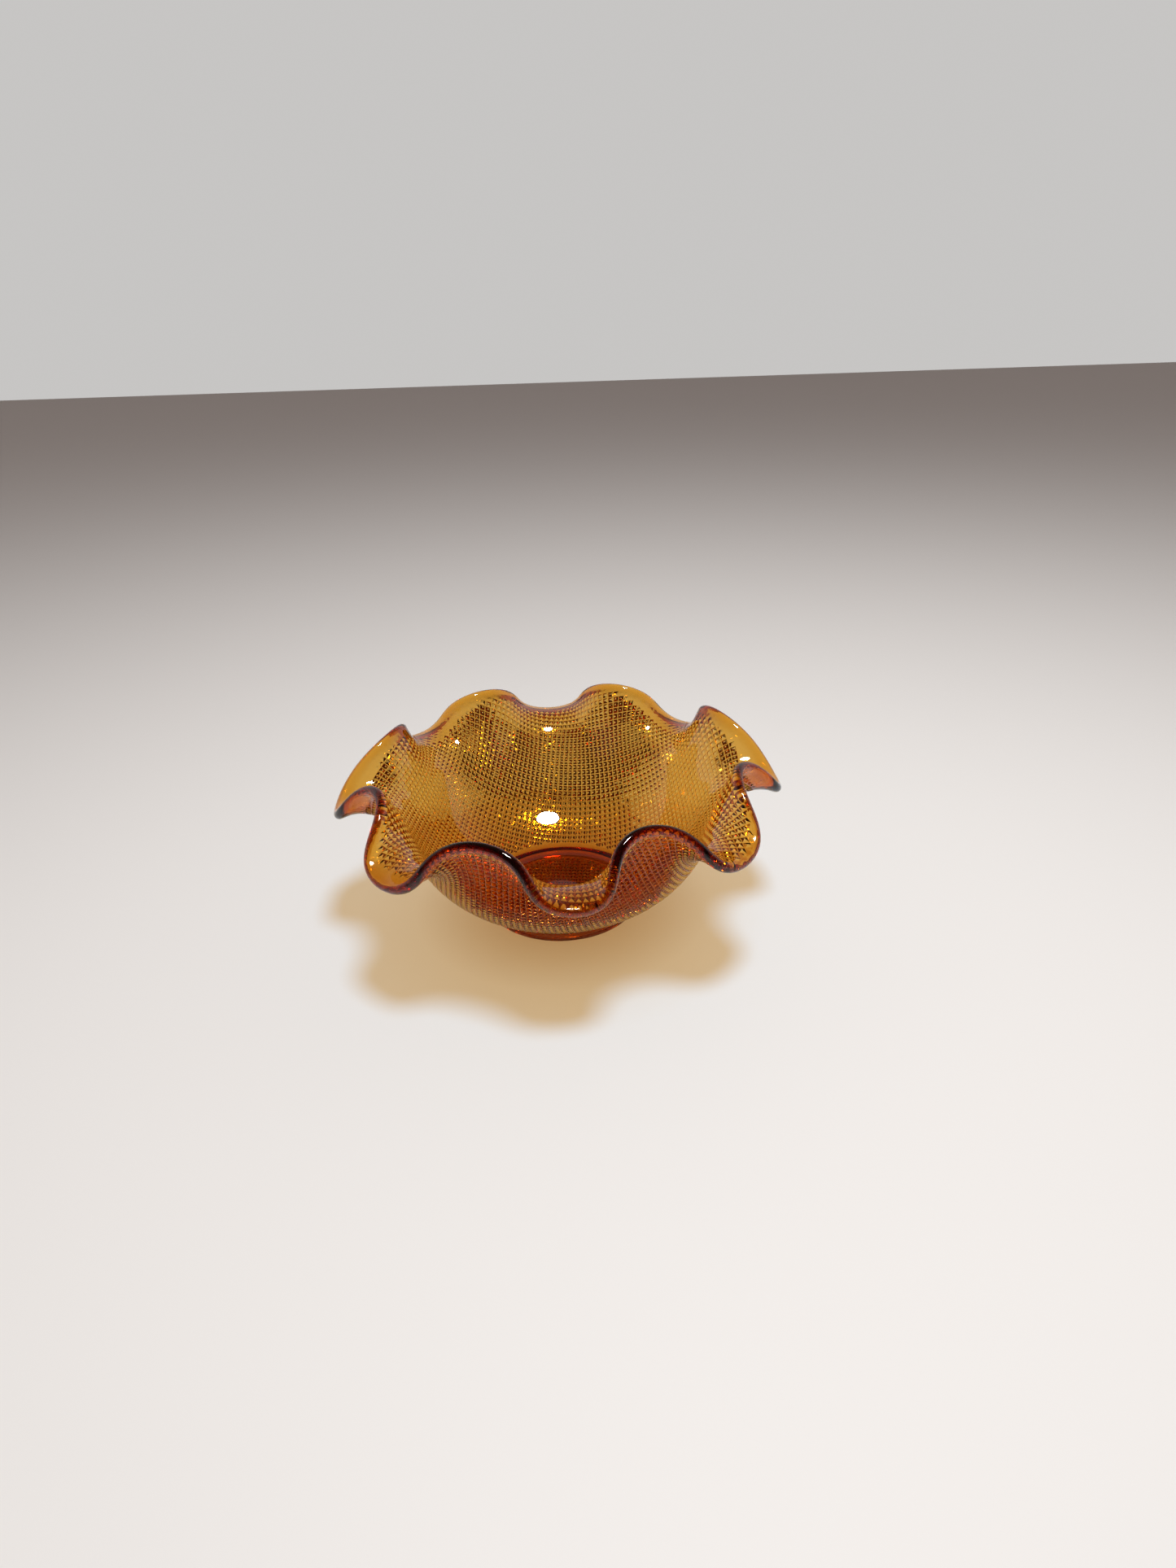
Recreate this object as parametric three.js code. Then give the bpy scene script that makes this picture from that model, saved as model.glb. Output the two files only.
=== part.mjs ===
// Footed candy dish of pressed amber glass, with a rim crimped by hand into eight ruffles.
// It is one piece of glass: pressed in a mould, then ruffled and fire-polished while hot.
// Millimetres, +Z up. The origin is on the foot's axis, in the plane that the foot stands on.
import * as THREE from "three";

// Driving dimensions
const FOOT_RADIUS = 32;
const FOOT_HEIGHT = 4.6;
const FOOT_EDGE = 1.2; // bevel round the foot's lower edge
const SEAT_WIDTH = 3.6; // flat ring that the dish stands on
const RECESS_DEPTH = 1.5; // hollow under the floor, inside the seat
const FLOOR_HEIGHT = 7; // top of the floor
const FLOOR_FLAT = 18; // radius where the floor begins to curve up
const WALL_THICKNESS = 3.2;
const RIM_THICKNESS = 4; // the rim swells a little where the fire softened it
const RIM_SWELL = 0.05; // share of the wall over which it swells
const RIM_RADIUS = 80; // mean radius of the rim
const RIM_HEIGHT = 59; // mean height of the rim
const LOBE_REACH = 7; // how far a lobe leans out past the mean rim, and a crest leans in
const CREST_LIFT = 9; // how far a crest stands above the mean rim, and a lobe hangs below it

// The wall's middle line before ruffling, from the top of the foot to the mean rim
const MEAN_WALL = new THREE.CubicBezierCurve(
  new THREE.Vector2(32.4, 8),
  new THREE.Vector2(67.5, 24),
  new THREE.Vector2(57, 53.5),
  new THREE.Vector2(RIM_RADIUS, RIM_HEIGHT),
);
const REACH_GROWTH = 3.8; // power by which the ruffles' reach grows from the foot to the rim
const LIFT_GROWTH = 4.7; // the same for their height

// The crimping is uneven. Each row is a lobe and the crest that follows it anticlockwise: degrees
// round from an even spacing, then millimetres out from the even reach. The first lobe faces -Y.
const RUFFLES = [
  { lobe: [1.5, -2.5], crest: [-1, -1] },
  { lobe: [0.5, -0.5], crest: [1.5, -1.5] },
  { lobe: [-1, 0.5], crest: [1.5, 2.5] },
  { lobe: [1, -1], crest: [-2, -0.5] },
  { lobe: [0, -0.5], crest: [3, 0] },
  { lobe: [-2, 0.5], crest: [0.5, -1.5] },
  { lobe: [2, -0.5], crest: [1, -1] },
  { lobe: [-0.5, 0.5], crest: [0.5, 3.5] },
];
const LOBE_HOLD = 0.15; // share of the reach by which a lobe stays out past an even wave
const SHOULDER = 2.5; // sideways swell of lobes and crests, which squares the wave, mm
const CREST_SPREAD = 1.5; // sideways room that each crest takes from the lobes, mm

// How finely the glass is divided
const STEPS_PER_FLANK = 8; // from a lobe to the next crest
const WALL_STEPS = 12;
const RIM_STEPS = 6;
const FLOOR_STEPS = 3;

// Shares of the wall where its rings lie: even steps, then one more at the middle of the rim's swell
const WALL_SHARES = Array.from({ length: WALL_STEPS }, (_, i) => (i / WALL_STEPS) * (1 - RIM_SWELL));
WALL_SHARES.push(1 - RIM_SWELL, 1 - RIM_SWELL / 2, 1);

// Lobes and crests in turn, each with its place on the rim
const extremes = RUFFLES.flatMap(({ lobe, crest }, index) => {
  const spacing = 360 / RUFFLES.length;
  return [
    {
      turn: THREE.MathUtils.degToRad(spacing * index + lobe[0]),
      radius: RIM_RADIUS + LOBE_REACH + lobe[1],
      height: RIM_HEIGHT - CREST_LIFT,
    },
    {
      turn: THREE.MathUtils.degToRad(spacing * (index + 0.5) + crest[0]),
      radius: RIM_RADIUS - LOBE_REACH + crest[1],
      height: RIM_HEIGHT + CREST_LIFT,
    },
  ];
});

// The rim's middle at a station that counts flanks: whole even numbers are lobes, odd are crests.
function rimAt(station) {
  const count = extremes.length;
  const index = Math.floor(station) % count;
  const along = station - Math.floor(station);
  const from = extremes[index];
  const to = extremes[(index + 1) % count];
  const toTurn = to.turn + (index + 1 === count ? 2 * Math.PI : 0);
  const rising = index % 2 === 0 ? 1 : -1;
  const ease = (1 - Math.cos(Math.PI * along)) / 2;
  const hold = rising * LOBE_HOLD * Math.sin(Math.PI * along) ** 2;
  const swell = SHOULDER * Math.sin(2 * Math.PI * along)
    - rising * CREST_SPREAD * Math.sin(Math.PI * along);
  return {
    turn: THREE.MathUtils.lerp(from.turn, toTurn, along) + swell / RIM_RADIUS,
    radius: THREE.MathUtils.lerp(from.radius, to.radius, ease - hold),
    height: THREE.MathUtils.lerp(from.height, to.height, ease),
  };
}

// A point on the middle of the glass wall: share runs from 0 at the foot to 1 at the rim.
function wallMiddle(share, station) {
  const mean = MEAN_WALL.getPoint(share);
  const rim = rimAt(station);
  const even = (2 * Math.PI * station) / extremes.length;
  const reach = share ** REACH_GROWTH;
  const turn = even + (rim.turn - even) * reach;
  const radius = mean.x + (rim.radius - RIM_RADIUS) * reach;
  const height = mean.y + (rim.height - RIM_HEIGHT) * share ** LIFT_GROWTH;
  return new THREE.Vector3(radius * Math.sin(turn), -radius * Math.cos(turn), height);
}

// The same point moved through the glass: inward towards the inside of the dish, and onward past
// the rim along the wall.
function wallPoint(share, station, inward, onward = 0) {
  const small = 1e-3;
  const count = extremes.length;
  const up = wallMiddle(share + small, station)
    .sub(wallMiddle(Math.max(share - small, 0), station)).normalize();
  const round = wallMiddle(share, (station + small) % count)
    .sub(wallMiddle(share, (station - small + count) % count)).normalize();
  const inner = new THREE.Vector3().crossVectors(up, round).normalize();
  return wallMiddle(share, station).addScaledVector(inner, inward).addScaledVector(up, onward);
}

// Half the thickness of the glass
function halfThickness(share) {
  const swell = THREE.MathUtils.smoothstep(share, 1 - RIM_SWELL, 1);
  return THREE.MathUtils.lerp(WALL_THICKNESS, RIM_THICKNESS, swell) / 2;
}

// The cross-section, from the axis under the floor, up the outside, over the rim and down the inside
// to the axis again. A plain point has a radius and a height; a wall point follows the ruffles.
function crossSection() {
  const plain = (radius, height) => ({ radius, height });
  const seatRadius = FOOT_RADIUS - FOOT_EDGE - SEAT_WIDTH;
  const section = [
    plain(0, RECESS_DEPTH),
    plain(seatRadius - RECESS_DEPTH, RECESS_DEPTH),
    plain(seatRadius, 0),
    plain(FOOT_RADIUS - FOOT_EDGE, 0),
    plain(FOOT_RADIUS, FOOT_EDGE),
    plain(FOOT_RADIUS, FOOT_HEIGHT),
  ];
  for (const share of WALL_SHARES) section.push({ share, inward: -halfThickness(share) });
  const rimHalf = halfThickness(1);
  for (let i = 1; i < RIM_STEPS; i++) {
    const angle = (Math.PI * i) / RIM_STEPS;
    section.push({
      share: 1, inward: -rimHalf * Math.cos(angle), onward: rimHalf * Math.sin(angle),
    });
  }
  for (const share of WALL_SHARES.toReversed()) {
    section.push({ share, inward: halfThickness(share) });
  }
  const start = wallPoint(0.001, 0, halfThickness(0));
  const next = MEAN_WALL.getTangent(0);
  const wallFoot = new THREE.Vector2(-start.y, start.z);
  const corner = wallFoot.clone().addScaledVector(next, (FLOOR_HEIGHT - wallFoot.y) / next.y);
  const dish = new THREE.QuadraticBezierCurve(
    wallFoot, corner, new THREE.Vector2(FLOOR_FLAT, FLOOR_HEIGHT));
  for (const point of dish.getPoints(FLOOR_STEPS).slice(1)) section.push(plain(point.x, point.y));
  section.push(plain(0, FLOOR_HEIGHT));
  return section;
}

// The whole dish: a lathe-turned body whose wall is then moved out into the ruffles.
function dishGeometry() {
  const section = crossSection();
  const segments = extremes.length * STEPS_PER_FLANK;
  const outline = section.map(({ radius, height, share, inward, onward = 0 }) => {
    if (share === undefined) return new THREE.Vector2(radius, height);
    const mean = MEAN_WALL.getPoint(share);
    return new THREE.Vector2(mean.x - inward, mean.y + onward);
  });
  const geometry = new THREE.LatheGeometry(outline, segments);
  const position = geometry.getAttribute("position");
  for (let segment = 0; segment <= segments; segment++) {
    const station = (segment % segments) / STEPS_PER_FLANK;
    const turn = (2 * Math.PI * segment) / segments;
    section.forEach(({ radius, height, share, inward, onward }, index) => {
      const point = share === undefined
        ? new THREE.Vector3(radius * Math.sin(turn), -radius * Math.cos(turn), height)
        : wallPoint(share, station, inward, onward);
      position.setXYZ(segment * section.length + index, point.x, point.y, point.z);
    });
  }
  geometry.computeVertexNormals();
  return geometry;
}

const amberGlass = new THREE.MeshStandardMaterial({
  color: 0xc07a1e,
  roughness: 0.06,
  metalness: 0,
  transparent: true,
  opacity: 0.6,
});

const dish = new THREE.Mesh(dishGeometry(), amberGlass);
dish.name = "glass_dish";

const candyDish = new THREE.Group();
candyDish.add(dish);

export default candyDish;
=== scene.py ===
import bmesh
import bpy
import numpy as np
from mathutils import Matrix, Quaternion, Vector
from mathutils.geometry import delaunay_2d_cdt


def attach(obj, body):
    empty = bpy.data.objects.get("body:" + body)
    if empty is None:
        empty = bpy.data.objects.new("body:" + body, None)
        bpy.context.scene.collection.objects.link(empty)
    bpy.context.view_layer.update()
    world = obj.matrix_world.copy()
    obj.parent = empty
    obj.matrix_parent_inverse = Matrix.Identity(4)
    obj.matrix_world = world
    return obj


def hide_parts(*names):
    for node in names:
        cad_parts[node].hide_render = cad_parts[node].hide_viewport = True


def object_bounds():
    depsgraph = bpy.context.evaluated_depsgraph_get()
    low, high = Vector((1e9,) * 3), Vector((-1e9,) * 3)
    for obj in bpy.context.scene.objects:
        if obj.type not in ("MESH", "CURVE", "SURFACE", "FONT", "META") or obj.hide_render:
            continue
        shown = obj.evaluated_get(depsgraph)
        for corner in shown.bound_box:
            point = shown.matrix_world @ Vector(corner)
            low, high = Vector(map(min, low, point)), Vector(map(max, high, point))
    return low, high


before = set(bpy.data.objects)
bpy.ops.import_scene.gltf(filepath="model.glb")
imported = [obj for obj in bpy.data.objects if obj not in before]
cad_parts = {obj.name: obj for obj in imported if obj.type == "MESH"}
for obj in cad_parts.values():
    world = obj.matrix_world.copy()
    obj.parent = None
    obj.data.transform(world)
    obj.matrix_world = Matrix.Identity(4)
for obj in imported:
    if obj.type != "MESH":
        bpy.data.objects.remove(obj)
cad_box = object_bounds()

MM = 0.001

# The dish, as it was designed. All of it is in millimetres until the mesh is made.
FOOT_RADIUS = 32
FOOT_HEIGHT = 4.6
FOOT_EDGE = 1.2  # size of the round on the foot's lower edge
FOOT_NECK = 1.2  # size of the round where the wall meets the foot
SEAT_EDGE = 0.5  # size of the round on the seat's inner edge
SEAT_WIDTH = 3.6  # flat ring that the dish stands on
RECESS_DEPTH = 1.5  # hollow under the floor, inside the seat
FLOOR_HEIGHT = 7  # top of the floor
FLOOR_FLAT = 18  # radius where the floor begins to curve up
WALL_THICKNESS = 3.2
RIM_THICKNESS = 4  # the rim swells a little where the fire softened it
RIM_SWELL = 0.05  # share of the wall over which it swells
RIM_RADIUS = 80  # mean radius of the rim
RIM_HEIGHT = 59  # mean height of the rim
LOBE_REACH = 7  # how far a lobe leans out past the mean rim, and a crest leans in
CREST_LIFT = 9  # how far a crest stands above the mean rim, and a lobe hangs below it
# Bezier points of the wall's middle line before ruffling, from the foot to the mean rim
MEAN_WALL = np.array([(32.4, 8), (67.5, 24), (57, 53.5), (RIM_RADIUS, RIM_HEIGHT)])
REACH_GROWTH = 3.8  # power by which the ruffles' reach grows from the foot to the rim
LIFT_GROWTH = 4.7  # the same for their height
LOBE_HOLD = 0.15  # share of the reach by which a lobe stays out past an even wave
SHOULDER = 2.5  # sideways swell of lobes and crests, which squares the wave
CREST_SPREAD = 1.5  # sideways room that each crest takes from the lobes

# Each lobe and the crest after it, anticlockwise from -Y: degrees round from an even spacing and
# millimetres out from the even reach
RUFFLES = [
    ((1.5, -2.5), (-1, -1)),
    ((0.5, -0.5), (1.5, -1.5)),
    ((-1, 0.5), (1.5, 2.5)),
    ((1, -1), (-2, -0.5)),
    ((0, -0.5), (3, 0)),
    ((-2, 0.5), (0.5, -1.5)),
    ((2, -0.5), (1, -1)),
    ((-0.5, 0.5), (0.5, 3.5)),
]
FLANKS = 2 * len(RUFFLES)

# The waffle: square pits between thin ribs, pressed in a flat plate that was then bent up
PITCH = 2.46
RIB_WIDTH = 0.32
PIT_SIDE = 0.85  # how wide each sloping side of a pit is, seen from above
PIT_DEPTH = 1.05
RIB_STAND = 0.12  # how much of that depth stands out past the plain surface
PATTERN_TURN = np.radians(-8.3)
RING_GAP = 0.35  # room between the waffle's squares and a ring of the mesh
PLATE_START = FOOT_RADIUS + 1  # radius in the flat plate where the wall begins
RECESS_FADE = (3, 1)  # the relief dies out between these distances from the recess's edge
UNEVEN = 0.035  # how far the pressing strays from the pattern
UNEVEN_SEED = 3

# Share of the wall where the fire melted the waffle away, at each lobe and crest from -Y on
MELTED = (
    1.04, 1.04, 0.99, 1.0, 0.86, 0.97, 0.86, 0.98,
    0.97, 0.97, 0.85, 0.97, 0.85, 1.0, 0.94, 1.04,
)
MELT_LENGTH = 0.035  # share of the wall over which the relief dies out
MELT_WOBBLE = 0.012  # how far the melted edge strays, as a share of the wall
MELT_TRACE = 0.1  # share of the relief that is left there

# How finely the glass is divided
STATIONS = 288
FOOT_STATIONS = 192
INSIDE_STEPS = 16
INSIDE_CROWDING = 1.3  # power that crowds the inside's rings towards the rim
RIM_STEPS = 8
FLOOR_STEPS = 4
ROUND_STEPS = 6  # points on a round of the foot
SEAT_ROUND_STEPS = 4
ARC_SAMPLES = 400  # points that the wall's length is measured over
SHARP_ANGLE = np.radians(28)

# How strongly the glass takes up red, green and blue, per millimetre
ABSORPTION = (0.065, 0.25, 0.8)
GLASS_ROUGHNESS = 0.02
GLASS_IOR = 1.52

FLOOR_SIZE = 6  # metres
FLOOR_GAP = 0.1 * MM  # the air that is left under glass that stands on paper
FLOOR_ROUGHNESS = 0.6

# The floor's colours by how far they lie from the foot's axis, in metres: pale paper further out, and
# painted shade under the dish, darker and redder towards the foot, where thick glass would shade it
FLOOR_PAPER_AND_PAINTED_SHADE = (
    (0.028, (0.28, 0.11, 0.03)),
    (0.031, (0.66, 0.52, 0.38)),
    (0.044, (0.72, 0.62, 0.50)),
    (0.062, (0.84, 0.80, 0.74)),
    (0.085, (0.86, 0.85, 0.83)),
)

# The light: the room's colours by the height that they are seen at, from the floor's plane, 0, to
# straight up, 1; then the lamp in metres and watts
WALL_BEHIND = ((0.3, (0.57, 0.56, 0.55)), (0.8, (0.13, 0.08, 0.06)))
ROOM_AHEAD = ((0.1, (0.3, 0.28, 0.26)), (0.3, (0.06, 0.025, 0.015)))
ROOM_BLEND = 0.35  # how far to either side of the X axis the two shade into each other
LAMP_PLACE = Vector((0.12, -0.16, 1.0))
LAMP_SIZE = 0.24
LAMP_POWER = 9
LAMP_THROUGH = (0.72, 0.52, 0.28)  # the share of its red, green and blue that the glass lets by

# The camera: its lens and sensor in millimetres, its place in metres and its turns in radians
LENS = 21.87
SENSOR_WIDTH = 36
CAMERA_TARGET = Vector((0, 0, 0.025))
CAMERA_DISTANCE = 0.3952
CAMERA_HEIGHT = 0.5314
CAMERA_TURN = np.radians(-1.5)
CAMERA_ROLL = -0.0442
CAMERA_LIFT = 0.0655
CAMERA_PAN = -0.0284


# ---------------------------------------------------------------- the ruffled wall


def extremes():
    """Turn, radius and height of each lobe and crest of the rim, and of the first lobe again."""
    rows = []
    for index, (lobe, crest) in enumerate(RUFFLES):
        for place, (turn, reach), side in ((index, lobe, 1), (index + 0.5, crest, -1)):
            rows.append((
                2 * np.pi * place / len(RUFFLES) + np.radians(turn),
                RIM_RADIUS + side * LOBE_REACH + reach,
                RIM_HEIGHT - side * CREST_LIFT,
            ))
    rows.append((rows[0][0] + 2 * np.pi, *rows[0][1:]))
    return np.array(rows)


EXTREMES = extremes()


def lerp(start, end, share):
    return start + (end - start) * share


def smooth_step(value, low, high):
    t = np.clip((value - low) / (high - low), 0, 1)
    return t * t * (3 - 2 * t)


def rim_at(station):
    """Turn, radius and height of the rim's middle; whole even stations are lobes, odd ones crests."""
    index = np.floor(station).astype(int)
    along = station - index
    start, end = EXTREMES[index % FLANKS].T, EXTREMES[index % FLANKS + 1].T
    rising = np.where(index % 2 == 0, 1, -1)
    ease = (1 - np.cos(np.pi * along)) / 2
    hold = rising * LOBE_HOLD * np.sin(np.pi * along) ** 2
    swell = SHOULDER * np.sin(2 * np.pi * along) - rising * CREST_SPREAD * np.sin(np.pi * along)
    turn = lerp(start[0], end[0], along) + swell / RIM_RADIUS + 2 * np.pi * (index // FLANKS)
    return turn, lerp(start[1], end[1], ease - hold), lerp(start[2], end[2], ease)


def mean_wall(share):
    """Radius and height of the wall's middle line before ruffling."""
    a, b, c, d = MEAN_WALL
    s = share[..., None]
    point = a * (1 - s) ** 3 + 3 * b * s * (1 - s) ** 2 + 3 * c * s ** 2 * (1 - s) + d * s ** 3
    return point[..., 0], point[..., 1]


def wall_middle(share, station):
    """The middle of the glass; share runs from 0 at the foot to 1 at the rim."""
    share = np.maximum(share, 0)
    mean_radius, mean_height = mean_wall(share)
    turn, radius, height = rim_at(station)
    even = 2 * np.pi * station / FLANKS
    reach = share ** REACH_GROWTH
    turn = lerp(even, turn, reach)
    radius = mean_radius + (radius - RIM_RADIUS) * reach
    height = mean_height + (height - RIM_HEIGHT) * share ** LIFT_GROWTH
    return np.stack([radius * np.sin(turn), -radius * np.cos(turn), height], -1)


def unit(vector):
    return vector / np.linalg.norm(vector, axis=-1, keepdims=True)


def wall_point(share, station, inward, onward=0.0):
    """A point moved through the glass, towards the inside, and onward past the rim."""
    small = 1e-3
    up = unit(wall_middle(share + small, station) - wall_middle(share - small, station))
    around = unit(wall_middle(share, station + small) - wall_middle(share, station - small))
    inner = unit(np.cross(up, around))
    inward = np.broadcast_to(inward, share.shape)[..., None]
    onward = np.broadcast_to(onward, share.shape)[..., None]
    return wall_middle(share, station) + inner * inward + up * onward


def half_thickness(share):
    return lerp(WALL_THICKNESS, RIM_THICKNESS, smooth_step(share, 1 - RIM_SWELL, 1)) / 2


# ---------------------------------------------------------------- the pressed plate


def arc_length_table():
    """Shares of the wall, and how far along it each one lies."""
    share = np.linspace(0, 1, ARC_SAMPLES)
    radius, height = mean_wall(share)
    steps = np.hypot(np.diff(radius), np.diff(height))
    return share, np.concatenate([[0], np.cumsum(steps)])


SHARES, ARC_LENGTHS = arc_length_table()
PLATE_END = PLATE_START + ARC_LENGTHS[-1]


def plate_to_wall(plate):
    """Share and station of points of the flat plate, before it was bent up and ruffled."""
    radius = np.hypot(plate[:, 0], plate[:, 1])
    share = np.interp(radius - PLATE_START, ARC_LENGTHS, SHARES)
    station = np.arctan2(plate[:, 0], -plate[:, 1]) * FLANKS / (2 * np.pi)
    return share, station % FLANKS


def ring(radius, count):
    turn = 2 * np.pi * np.arange(count) / count
    return np.stack([radius * np.sin(turn), -radius * np.cos(turn)], -1)


def waffle_plate(inner, outer, inner_count, outer_count):
    """A flat annulus (or, with inner 0, a disc) whose mesh follows the waffle's lines.

    Returns the points, the triangles and how far each point stands out, from 0 to 1. The first
    points are the outer ring's, then the inner ring's, each beginning at -Y.
    """
    lines = np.arange(-np.ceil(outer / PITCH) - 1, np.ceil(outer / PITCH) + 2)
    rib, pit = RIB_WIDTH / 2, RIB_WIDTH / 2 + PIT_SIDE
    ticks = np.add.outer(lines * PITCH, [rib, pit, PITCH - pit, PITCH - rib]).ravel()
    tall = np.tile([1, 0, 0, 1], len(lines))
    raised = np.maximum.outer(tall, tall)
    turned = np.array([[np.cos(PATTERN_TURN), np.sin(PATTERN_TURN)],
                       [-np.sin(PATTERN_TURN), np.cos(PATTERN_TURN)]])
    grid = np.stack(np.meshgrid(ticks, ticks, indexing="ij"), -1)
    radius = np.linalg.norm(grid, axis=-1)
    free = (radius < outer - RING_GAP) & (radius > (inner + RING_GAP if inner else -1))
    whole = free[:-1, :-1] & free[1:, :-1] & free[1:, 1:] & free[:-1, 1:]
    used = np.zeros_like(free)
    for down in (slice(None, -1), slice(1, None)):
        for across in (slice(None, -1), slice(1, None)):
            used[down, across] |= whole

    rings = [ring(outer, outer_count)] + ([ring(inner, inner_count)] if inner else [])
    ring_size = sum(len(one) for one in rings)
    number = np.full(free.shape, -1)
    number[used] = ring_size + np.arange(used.sum())
    points = np.concatenate([*rings, grid[used] @ turned])
    height = np.concatenate([np.ones(ring_size), raised[used]])
    a, b, c, d = [n[whole] for n in
                  (number[:-1, :-1], number[1:, :-1], number[1:, 1:], number[:-1, 1:])]
    ac = height[a] + height[c] <= height[b] + height[d]
    squares = np.concatenate([
        np.stack([a, b, c], -1)[ac], np.stack([a, c, d], -1)[ac],
        np.stack([a, b, d], -1)[~ac], np.stack([b, c, d], -1)[~ac],
    ])

    # The band between the whole squares and the rings is triangulated on its own
    sides = np.sort(np.concatenate([squares[:, [0, 1]], squares[:, [1, 2]], squares[:, [2, 0]]]), 1)
    sides, uses = np.unique(sides, axis=0, return_counts=True)
    border = [sides[uses == 1]]
    first = 0
    for one in rings:
        index = first + np.arange(len(one))
        border.append(np.stack([index, np.roll(index, -1)], -1))
        first += len(one)
    border = np.concatenate(border)
    used = np.unique(border)
    place = np.searchsorted(used, border)
    band = delaunay_2d_cdt([Vector(p) for p in points[used]], place.tolist(), [], 0, 1e-7)[2]
    band = used[np.array([tuple(face) for face in band])]
    centre = points[band].mean(axis=1)
    radius = np.linalg.norm(centre, axis=1)
    cell = np.searchsorted(ticks, centre @ turned.T) - 1
    band = band[(radius < outer) & (radius > inner) & ~whole[cell[:, 0], cell[:, 1]]]
    return points, np.concatenate([squares, band]), height


# ---------------------------------------------------------------- the glass


class Surface:
    """Points in millimetres and triangles, gathered piece by piece."""

    def __init__(self):
        self.points = []
        self.faces = []
        self.size = 0

    def add(self, points):
        index = self.size + np.arange(len(points))
        self.points.append(points)
        self.size += len(points)
        return index

    def join(self, one, other):
        """A band of triangles between two closed rings with as many points."""
        one_next, other_next = np.roll(one, -1), np.roll(other, -1)
        self.faces.append(np.stack([one, one_next, other_next], -1))
        self.faces.append(np.stack([one, other_next, other], -1))

    def close(self, around, centre):
        tip = np.broadcast_to(self.add(centre), around.shape)
        self.faces.append(np.stack([around, np.roll(around, -1), tip], -1))

    def mesh(self, name):
        faces = np.concatenate(self.faces)
        mesh = bpy.data.meshes.new(name)
        mesh.from_pydata(np.concatenate(self.points) * MM, [], faces)
        mesh.validate()
        return mesh


def lathe_ring(radius, height, count):
    return np.concatenate([ring(radius, count), np.full((count, 1), float(height))], 1)


def rounded(start, corner, end, radius, steps):
    """Points of the round that softens a corner of the foot's outline."""
    start, corner, end = (np.array(p, float) for p in (start, corner, end))
    towards_start, towards_end = unit(start - corner), unit(end - corner)
    first, last = corner + towards_start * radius, corner + towards_end * radius
    t = np.linspace(0, 1, steps)[:, None]
    return (1 - t) ** 2 * first + 2 * t * (1 - t) * corner + t ** 2 * last


def pattern_strength(share, station):
    """Full where the waffle is crisp, and a trace where the fire has melted it away."""
    end = np.interp(station, np.arange(FLANKS + 1), (*MELTED, MELTED[0]))
    wobble = np.sin(5.1 * station) * np.sin(2.3 * station + 1)  # two waves out of step
    end = end + MELT_WOBBLE * wobble
    return 1 - (1 - MELT_TRACE) * smooth_step(share, end - MELT_LENGTH, end)


def rib_height(raised):
    """How far a point of the waffle stands out of the plain surface: ribs do, pits are sunk."""
    uneven = np.random.default_rng(UNEVEN_SEED).uniform(-UNEVEN, UNEVEN, len(raised))
    return RIB_STAND - PIT_DEPTH * (1 - raised) + uneven


def outer_wall(surface):
    """The waffled outside of the wall. Returns its rings at the rim and at the foot."""
    plate, faces, raised = waffle_plate(PLATE_START, PLATE_END, FOOT_STATIONS, STATIONS)
    share, station = plate_to_wall(plate)
    share[:STATIONS] = 1
    share[STATIONS:STATIONS + FOOT_STATIONS] = 0
    relief = rib_height(raised) * pattern_strength(share, station)
    relief[:STATIONS + FOOT_STATIONS] = 0
    index = surface.add(wall_point(share, station, -half_thickness(share) - relief))
    surface.faces.append(index[faces])
    return index[:STATIONS], index[STATIONS:STATIONS + FOOT_STATIONS]


def rim_and_inside(surface, rim_ring):
    """Over the rounded rim, down the inside of the wall and across the floor to the axis."""
    station = FLANKS * np.arange(STATIONS) / STATIONS
    top = np.ones(STATIONS)
    last = rim_ring
    half = RIM_THICKNESS / 2
    for angle in np.pi * np.arange(1, RIM_STEPS + 1) / RIM_STEPS:
        points = wall_point(top, station, -half * np.cos(angle), half * np.sin(angle))
        now = surface.add(points)
        surface.join(last, now)
        last = now
    for share in 1 - np.linspace(0, 1, INSIDE_STEPS + 1)[1:] ** INSIDE_CROWDING:
        now = surface.add(wall_point(np.full(STATIONS, share), station, half_thickness(share)))
        surface.join(last, now)
        last = now
    wall_foot = wall_point(np.zeros(1), np.zeros(1), WALL_THICKNESS / 2)[0]
    wall_foot = np.array([-wall_foot[1], wall_foot[2]])
    slope = MEAN_WALL[1] - MEAN_WALL[0]
    corner = wall_foot + slope * (FLOOR_HEIGHT - wall_foot[1]) / slope[1]
    flat = np.array([FLOOR_FLAT, FLOOR_HEIGHT])
    for t in np.linspace(0, 1, FLOOR_STEPS + 1)[1:]:
        radius, height = (1 - t) ** 2 * wall_foot + 2 * t * (1 - t) * corner + t ** 2 * flat
        now = surface.add(lathe_ring(radius, height, STATIONS))
        surface.join(last, now)
        last = now
    surface.close(last, np.array([[0, 0, FLOOR_HEIGHT]], float))


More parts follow.
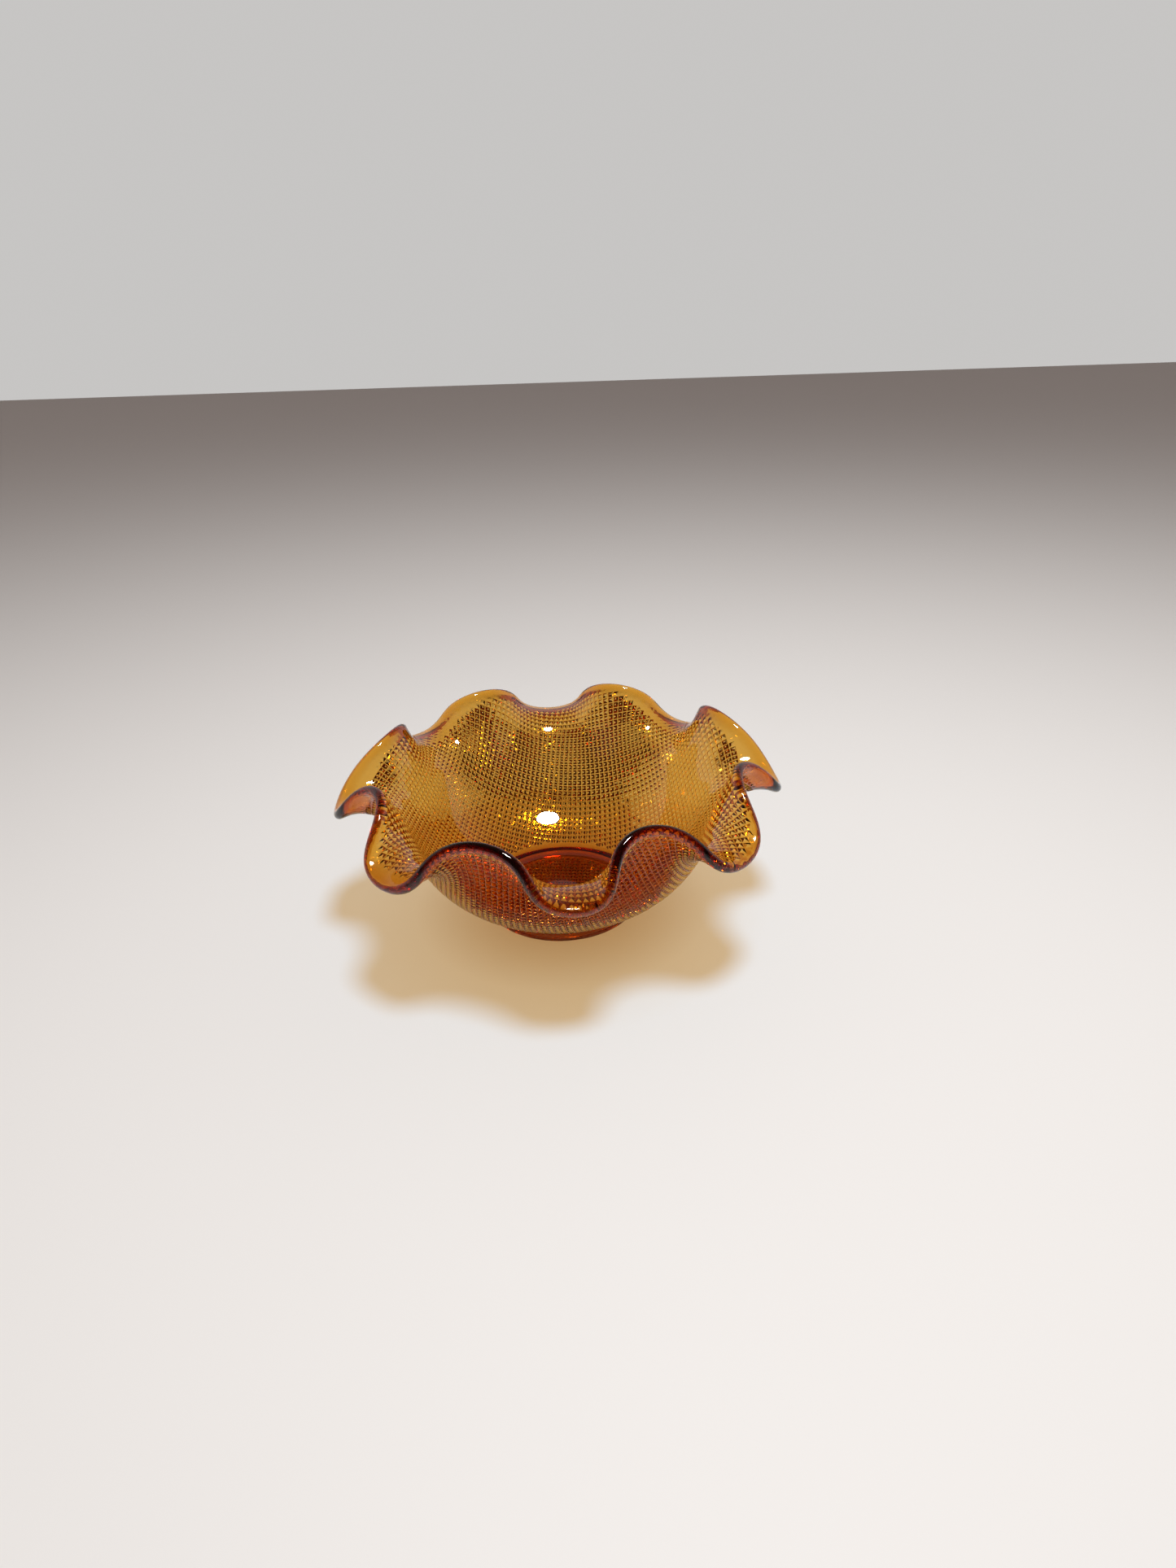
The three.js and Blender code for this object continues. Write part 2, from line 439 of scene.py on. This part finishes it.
def foot(surface, wall_ring):
    """From the wall down the foot to the seat it stands on, and up into the hollow under the floor."""
    junction = wall_point(np.zeros(1), np.zeros(1), -WALL_THICKNESS / 2)[0]
    junction = (-junction[1], junction[2])
    seat = FOOT_RADIUS - FOOT_EDGE - SEAT_WIDTH
    hollow = seat - RECESS_DEPTH
    neck, edge = (FOOT_RADIUS, FOOT_HEIGHT), (FOOT_RADIUS, 0)
    outline = [
        *rounded(junction, neck, edge, FOOT_NECK, ROUND_STEPS),
        *rounded(neck, edge, (0, 0), FOOT_EDGE, ROUND_STEPS),
        *rounded(edge, (seat, 0), (hollow, RECESS_DEPTH), SEAT_EDGE, SEAT_ROUND_STEPS),
    ]
    last = wall_ring
    for radius, height in outline:
        now = surface.add(lathe_ring(radius, height, FOOT_STATIONS))
        surface.join(last, now)
        last = now
    plate, faces, raised = waffle_plate(0, hollow, 0, FOOT_STATIONS)
    fade_start, fade_end = (hollow - distance for distance in RECESS_FADE)
    fade = 1 - smooth_step(np.hypot(plate[:, 0], plate[:, 1]), fade_start, fade_end)
    height = RECESS_DEPTH - rib_height(raised) * fade
    index = surface.add(np.concatenate([plate, height[:, None]], 1))
    surface.faces.append(index[faces])
    surface.join(last, index[:FOOT_STATIONS])


def glass_dish():
    """The whole dish: one closed surface, held inside the box that it was designed in."""
    surface = Surface()
    rim_ring, foot_ring = outer_wall(surface)
    rim_and_inside(surface, rim_ring)
    foot(surface, foot_ring)
    mesh = surface.mesh("dish")
    made = bmesh.new()
    made.from_mesh(mesh)
    bmesh.ops.recalc_face_normals(made, faces=made.faces)
    open_edges = sum(not edge.is_manifold for edge in made.edges)
    assert open_edges == 0, f"the glass has {open_edges} open edges"
    low, high = cad_box
    for vertex in made.verts:
        vertex.co = [min(max(value, a), b) for value, a, b in zip(vertex.co, low, high)]
    made.to_mesh(mesh)
    made.free()
    mesh.shade_smooth()
    mesh.set_sharp_from_angle(angle=SHARP_ANGLE)
    dish = bpy.data.objects.new("dish", mesh)
    bpy.context.scene.collection.objects.link(dish)
    return dish


def amber_glass():
    """Clear glass whose colour comes from its depth: golden where thin and red-brown where thick."""
    material = bpy.data.materials.new("amber_glass")
    material.use_nodes = True
    nodes, links = material.node_tree.nodes, material.node_tree.links
    shader = nodes["Principled BSDF"]
    shader.inputs["Base Color"].default_value = (1, 1, 1, 1)
    shader.inputs["Roughness"].default_value = GLASS_ROUGHNESS
    shader.inputs["IOR"].default_value = GLASS_IOR
    shader.inputs["Transmission Weight"].default_value = 1
    amber = nodes.new("ShaderNodeVolumeAbsorption")
    densest = max(ABSORPTION)
    amber.inputs["Color"].default_value = (*(1 - k / densest for k in ABSORPTION), 1)
    amber.inputs["Density"].default_value = densest / MM
    links.new(amber.outputs["Volume"], nodes["Material Output"].inputs["Volume"])
    return material


# ---------------------------------------------------------------- floor, light and camera


def colour_ramp(tree, source, stops):
    """A colour ramp read from source, with stops of a place and a colour."""
    ramp = tree.nodes.new("ShaderNodeValToRGB")
    tree.links.new(source, ramp.inputs["Fac"])
    elements = ramp.color_ramp.elements
    for _ in stops[2:]:
        elements.new(1)
    for element, (place, colour) in zip(elements, stops):
        element.position = place
        element.color = (*colour, 1)
    return ramp.outputs["Color"]


def studio_floor():
    """Pale paper, painted darker and redder under the dish, where thick glass would shade it."""
    mesh = bpy.data.meshes.new("floor")
    half = FLOOR_SIZE / 2
    corners = [(-half, -half, 0), (half, -half, 0), (half, half, 0), (-half, half, 0)]
    mesh.from_pydata(corners, [], [(0, 1, 2, 3)])
    mesh.transform(Matrix.Translation((0, 0, -FLOOR_GAP)))
    floor = bpy.data.objects.new("floor", mesh)
    bpy.context.scene.collection.objects.link(floor)
    material = bpy.data.materials.new("floor_paper")
    material.use_nodes = True
    tree = material.node_tree
    place = tree.nodes.new("ShaderNodeTexCoord")
    radius = tree.nodes.new("ShaderNodeVectorMath")
    radius.operation = "LENGTH"
    tree.links.new(place.outputs["Object"], radius.inputs[0])
    # Painted shade: the paper is darker and redder under the dish, where thick glass would shade it
    paint = colour_ramp(tree, radius.outputs["Value"], FLOOR_PAPER_AND_PAINTED_SHADE)
    shader = tree.nodes["Principled BSDF"]
    tree.links.new(paint, shader.inputs["Base Color"])
    shader.inputs["Roughness"].default_value = FLOOR_ROUGHNESS
    mesh.materials.append(material)


def studio_light(glass):
    """A pale wall behind the dish, a dim room in front of it and above, and one lamp up high.

    The lamp is two that share its place and add up to white. The amber one's light isn't stopped by
    the glass and the blue one's is, so the golden shade on the floor is set by LAMP_THROUGH and not
    by the glass. The amber one stands a millimetre further out, so that the two don't coincide.
    """
    world = bpy.data.worlds.new("studio")
    world.use_nodes = True
    tree = world.node_tree
    direction = tree.nodes.new("ShaderNodeTexCoord")
    split = tree.nodes.new("ShaderNodeSeparateXYZ")
    tree.links.new(direction.outputs["Generated"], split.inputs["Vector"])
    behind = colour_ramp(tree, split.outputs["Z"], WALL_BEHIND)
    ahead = colour_ramp(tree, split.outputs["Z"], ROOM_AHEAD)
    side = tree.nodes.new("ShaderNodeMapRange")
    side.interpolation_type = "SMOOTHSTEP"
    side.inputs["From Min"].default_value = -ROOM_BLEND
    side.inputs["From Max"].default_value = ROOM_BLEND
    tree.links.new(split.outputs["Y"], side.inputs["Value"])
    room = tree.nodes.new("ShaderNodeMix")
    room.data_type = "RGBA"
    tree.links.new(side.outputs["Result"], room.inputs["Factor"])
    tree.links.new(ahead, room.inputs["A"])
    tree.links.new(behind, room.inputs["B"])
    tree.links.new(room.outputs["Result"], tree.nodes["Background"].inputs["Color"])
    bpy.context.scene.world = world

    spared = bpy.data.collections.new("passed_by_amber_light")
    spared.objects.link(glass)
    spared.collection_objects[0].light_linking.link_state = "EXCLUDE"
    lamps = {"amber_lamp": LAMP_THROUGH, "blue_lamp": 1 - np.array(LAMP_THROUGH)}
    for name, colour in lamps.items():
        lamp = bpy.data.lights.new(name, "AREA")
        lamp.shape = "DISK"
        lamp.size = LAMP_SIZE
        lamp.energy = LAMP_POWER
        lamp.color = colour
        holder = bpy.data.objects.new(name, lamp)
        holder.location = LAMP_PLACE
        holder.rotation_euler = (-holder.location).to_track_quat("-Z", "Y").to_euler()
        if name == "amber_lamp":
            holder.location += holder.location.normalized() * MM
            holder.light_linking.blocker_collection = spared
        bpy.context.scene.collection.objects.link(holder)


def camera():
    """Looks down on the dish from in front and a little to its left, held slightly askew."""
    data = bpy.data.cameras.new("camera")
    data.sensor_width = SENSOR_WIDTH
    data.lens = LENS
    held = bpy.data.objects.new("camera", data)
    direction = Vector((np.sin(CAMERA_TURN) * np.cos(CAMERA_HEIGHT),
                        -np.cos(CAMERA_TURN) * np.cos(CAMERA_HEIGHT), np.sin(CAMERA_HEIGHT)))
    held.location = CAMERA_TARGET + direction * CAMERA_DISTANCE
    held.rotation_mode = "QUATERNION"
    held.rotation_quaternion = ((-direction).to_track_quat("-Z", "Y")
                                @ Quaternion((0, 0, 1), CAMERA_ROLL)
                                @ Quaternion((1, 0, 0), CAMERA_LIFT)
                                @ Quaternion((0, 1, 0), CAMERA_PAN))
    bpy.context.scene.collection.objects.link(held)
    bpy.context.scene.camera = held


def render_settings():
    scene = bpy.context.scene
    scene.view_settings.view_transform = "Standard"
    scene.cycles.use_denoising = True
    scene.cycles.caustics_refractive = False
    scene.cycles.max_bounces = 24
    scene.cycles.transmission_bounces = 24
    scene.cycles.glossy_bounces = 8


camera()
studio_floor()
render_settings()

dish = glass_dish()
studio_light(dish)
dish.data.materials.append(amber_glass())
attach(dish, "root")
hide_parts("glass_dish")
